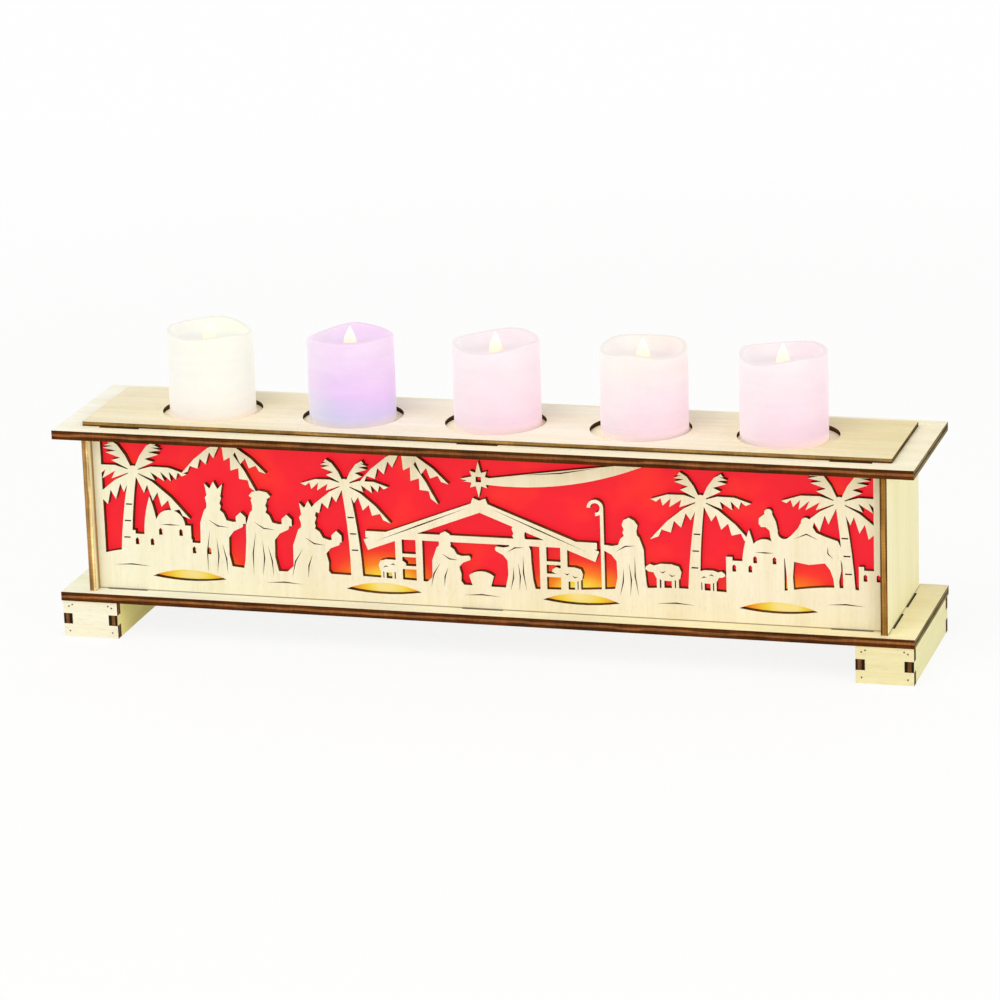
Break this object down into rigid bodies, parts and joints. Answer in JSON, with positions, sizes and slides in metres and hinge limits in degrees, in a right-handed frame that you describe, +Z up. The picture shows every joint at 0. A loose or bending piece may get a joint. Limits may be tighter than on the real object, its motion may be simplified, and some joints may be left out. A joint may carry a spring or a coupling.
{
  "type": "advent candle holder",
  "caption": "Long plywood light box on two low feet, with a lit fretwork scene in front and a row of LED pillar candles standing in round holes on top.",
  "frame": {"origin": "on the standing surface, midway between the feet", "axes": "+X along the row of candles to the right, +Y away from the fretwork front, +Z up"},
  "size_m": [0.38, 0.077, 0.136],
  "materials": {
    "plywood": "bare",
    "thin_plywood": "bare",
    "red_film": "translucent",
    "circuit_board": "matte",
    "lead_sheath": "matte",
    "white_plastic": "moulded",
    "black_plastic": "moulded",
    "cell_label": "plain sleeve",
    "contact_steel": "plated",
    "cell_steel": "plated",
    "wax_cream": "wax",
    "wax_lilac": "wax",
    "wax_rose": "wax",
    "wax_pink": "wax",
    "flame": "frosted"
  },
  "bodies": {
    "box": {"back_panel": "thin_plywood", "base_plate": "plywood", "battery_case": "white_plastic", "battery_cells": "cell_label", "battery_contacts": "contact_steel", "candle_plate": "thin_plywood", "front_panel": "thin_plywood", "led_strip": "circuit_board", "left_end_panel": "thin_plywood", "left_foot_back": "plywood", "left_foot_front": "plywood", "left_foot_inner_side": "plywood", "left_foot_outer_side": "plywood", "light_lead": "lead_sheath", "red_film": "red_film", "right_end_panel": "thin_plywood", "right_foot_back": "plywood", "right_foot_front": "plywood", "right_foot_inner_side": "plywood", "right_foot_outer_side": "plywood", "top_plate": "plywood"},
    "case_cover": {"battery_case_cover": "white_plastic"},
    "case_switch": {"battery_case_switch": "black_plastic"},
    "candle_1_hatch": {"candle_1_battery_hatch": "white_plastic"},
    "candle_1": {"candle_1_coin_cell": "cell_steel", "candle_1_core": "white_plastic", "candle_1_flame_tip": "flame", "candle_1_led_board": "circuit_board", "candle_1_wax_shell": "wax_cream"},
    "candle_1_switch": {"candle_1_switch_slider": "black_plastic"},
    "candle_2_hatch": {"candle_2_battery_hatch": "white_plastic"},
    "candle_2": {"candle_2_coin_cell": "cell_steel", "candle_2_core": "white_plastic", "candle_2_flame_tip": "flame", "candle_2_led_board": "circuit_board", "candle_2_wax_shell": "wax_lilac"},
    "candle_2_switch": {"candle_2_switch_slider": "black_plastic"},
    "candle_3_hatch": {"candle_3_battery_hatch": "white_plastic"},
    "candle_3": {"candle_3_coin_cell": "cell_steel", "candle_3_core": "white_plastic", "candle_3_flame_tip": "flame", "candle_3_led_board": "circuit_board", "candle_3_wax_shell": "wax_rose"},
    "candle_3_switch": {"candle_3_switch_slider": "black_plastic"},
    "candle_4_hatch": {"candle_4_battery_hatch": "white_plastic"},
    "candle_4": {"candle_4_coin_cell": "cell_steel", "candle_4_core": "white_plastic", "candle_4_flame_tip": "flame", "candle_4_led_board": "circuit_board", "candle_4_wax_shell": "wax_rose"},
    "candle_4_switch": {"candle_4_switch_slider": "black_plastic"},
    "candle_5_hatch": {"candle_5_battery_hatch": "white_plastic"},
    "candle_5": {"candle_5_coin_cell": "cell_steel", "candle_5_core": "white_plastic", "candle_5_flame_tip": "flame", "candle_5_led_board": "circuit_board", "candle_5_wax_shell": "wax_pink"},
    "candle_5_switch": {"candle_5_switch_slider": "black_plastic"}
  },
  "joints": [
    {"name": "candle_1_lift", "type": "slide", "parent": "box", "child": "candle_1", "axis": [0, 0, 1], "range_m": [0, 0.06]},
    {"name": "candle_1_hatch_turn", "type": "hinge", "parent": "candle_1", "child": "candle_1_hatch", "pos_m": [-0.1308, 0, 0.0946], "axis": [0, 0, 1], "range_deg": [0, 90]},
    {"name": "candle_1_switch_slide", "type": "slide", "parent": "candle_1", "child": "candle_1_switch", "axis": [0, 1, 0], "range_m": [0, 0.002]},
    {"name": "candle_2_lift", "type": "slide", "parent": "box", "child": "candle_2", "axis": [0, 0, 1], "range_m": [0, 0.06]},
    {"name": "candle_2_hatch_turn", "type": "hinge", "parent": "candle_2", "child": "candle_2_hatch", "pos_m": [-0.0664, 0, 0.0946], "axis": [0, 0, 1], "range_deg": [0, 90]},
    {"name": "candle_2_switch_slide", "type": "slide", "parent": "candle_2", "child": "candle_2_switch", "axis": [0, 1, 0], "range_m": [0, 0.002]},
    {"name": "candle_3_lift", "type": "slide", "parent": "box", "child": "candle_3", "axis": [0, 0, 1], "range_m": [0, 0.06]},
    {"name": "candle_3_hatch_turn", "type": "hinge", "parent": "candle_3", "child": "candle_3_hatch", "pos_m": [-0.00095, 0, 0.0946], "axis": [0, 0, 1], "range_deg": [0, 90]},
    {"name": "candle_3_switch_slide", "type": "slide", "parent": "candle_3", "child": "candle_3_switch", "axis": [0, 1, 0], "range_m": [0, 0.002]},
    {"name": "candle_4_lift", "type": "slide", "parent": "box", "child": "candle_4", "axis": [0, 0, 1], "range_m": [0, 0.06]},
    {"name": "candle_4_hatch_turn", "type": "hinge", "parent": "candle_4", "child": "candle_4_hatch", "pos_m": [0.0642, 0, 0.0946], "axis": [0, 0, 1], "range_deg": [0, 90]},
    {"name": "candle_4_switch_slide", "type": "slide", "parent": "candle_4", "child": "candle_4_switch", "axis": [0, 1, 0], "range_m": [0, 0.002]},
    {"name": "candle_5_lift", "type": "slide", "parent": "box", "child": "candle_5", "axis": [0, 0, 1], "range_m": [0, 0.06]},
    {"name": "candle_5_hatch_turn", "type": "hinge", "parent": "candle_5", "child": "candle_5_hatch", "pos_m": [0.125, 0, 0.0946], "axis": [0, 0, 1], "range_deg": [0, 90]},
    {"name": "candle_5_switch_slide", "type": "slide", "parent": "candle_5", "child": "candle_5_switch", "axis": [0, 1, 0], "range_m": [0, 0.002]},
    {"name": "case_cover_slide", "type": "slide", "parent": "box", "child": "case_cover", "axis": [1, 0, 0], "range_m": [0, 0.051]},
    {"name": "case_switch_slide", "type": "slide", "parent": "box", "child": "case_switch", "axis": [1, 0, 0], "range_m": [0, 0.003]}
  ]
}
